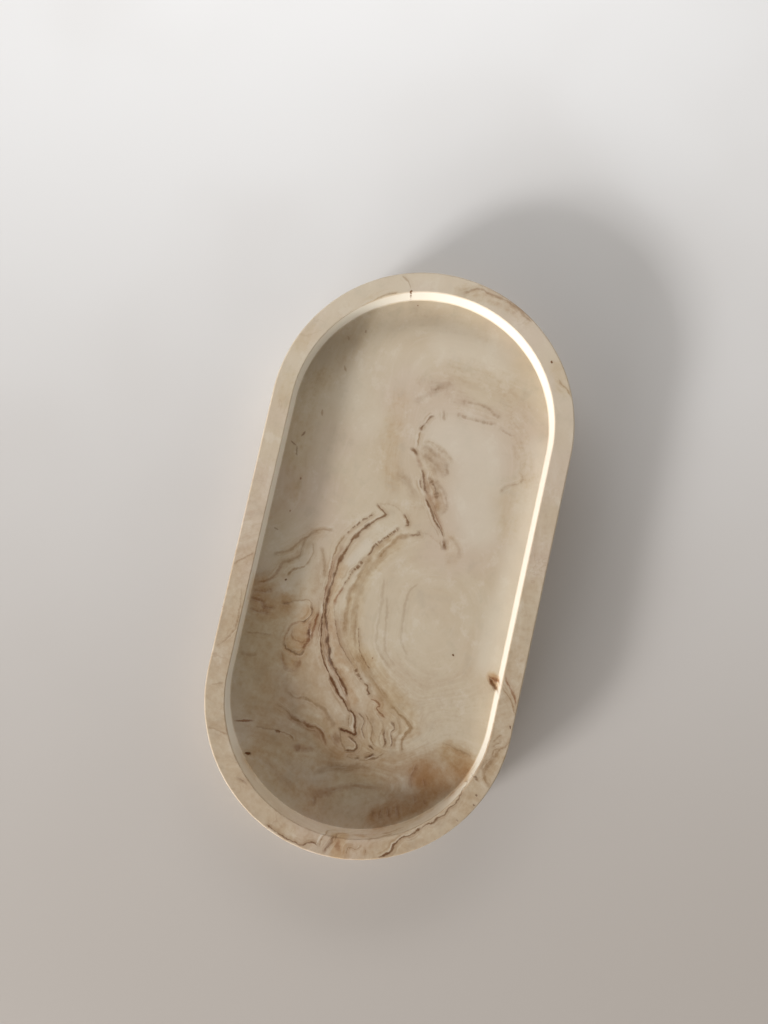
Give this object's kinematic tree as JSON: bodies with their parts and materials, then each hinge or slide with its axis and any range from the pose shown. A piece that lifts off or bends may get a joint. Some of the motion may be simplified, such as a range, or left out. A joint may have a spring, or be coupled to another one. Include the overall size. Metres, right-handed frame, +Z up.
{
  "type": "oval serving tray",
  "caption": "Small racetrack-shaped serving or trinket tray in marbled cast stone, with a flat sunk well, a broad level rim and stick-on bumper feet.",
  "frame": {"origin": "middle of the tray's footprint, on the surface that its feet stand on", "axes": "+X along the tray's length, towards the top of the picture; +Y across it; +Z up out of the well"},
  "size_m": [0.202, 0.105, 0.0173],
  "materials": {
    "cast_stone": "smooth satin, cream with tan and brown marbling",
    "bumper_rubber": "soft satin, milky grey"
  },
  "bodies": {
    "root": {"tray_body": "cast_stone", "foot_front_left": "bumper_rubber", "foot_front_right": "bumper_rubber", "foot_back_left": "bumper_rubber", "foot_back_right": "bumper_rubber"}
  },
  "joints": []
}
